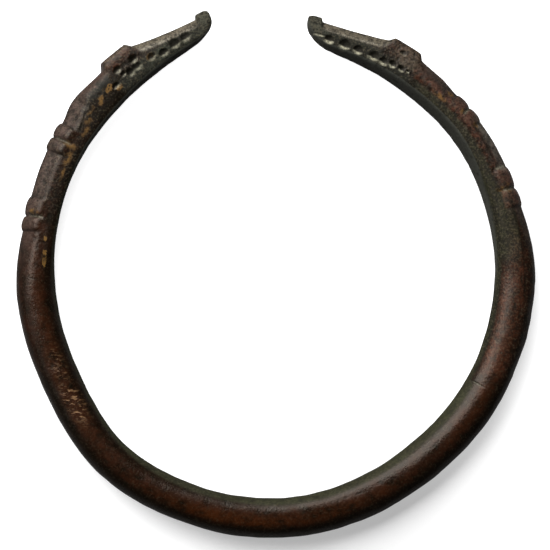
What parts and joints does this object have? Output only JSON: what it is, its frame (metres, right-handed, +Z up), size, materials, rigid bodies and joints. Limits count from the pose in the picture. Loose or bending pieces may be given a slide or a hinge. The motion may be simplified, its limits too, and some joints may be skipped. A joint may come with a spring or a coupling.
{
  "type": "bronze bracelet",
  "caption": "Open cast-bronze hoop bracelet with long-snouted animal-head ends, collars behind the necks and a plain round back, lying flat.",
  "frame": {"origin": "middle of the bracelet's outline box, on the surface that it lies on", "axes": "+Z up from the surface that it lies on, +Y from the back of the hoop towards the opening between the heads, +X to the right seen from above"},
  "size_m": [0.0812, 0.0818, 0.0058],
  "materials": {
    "bronze": "worn dark brown bronze with a satin sheen, grey-green patina on the inner side and ochre earth in the hollows"
  },
  "bodies": {
    "root": {"bracelet": "bronze"}
  },
  "joints": []
}
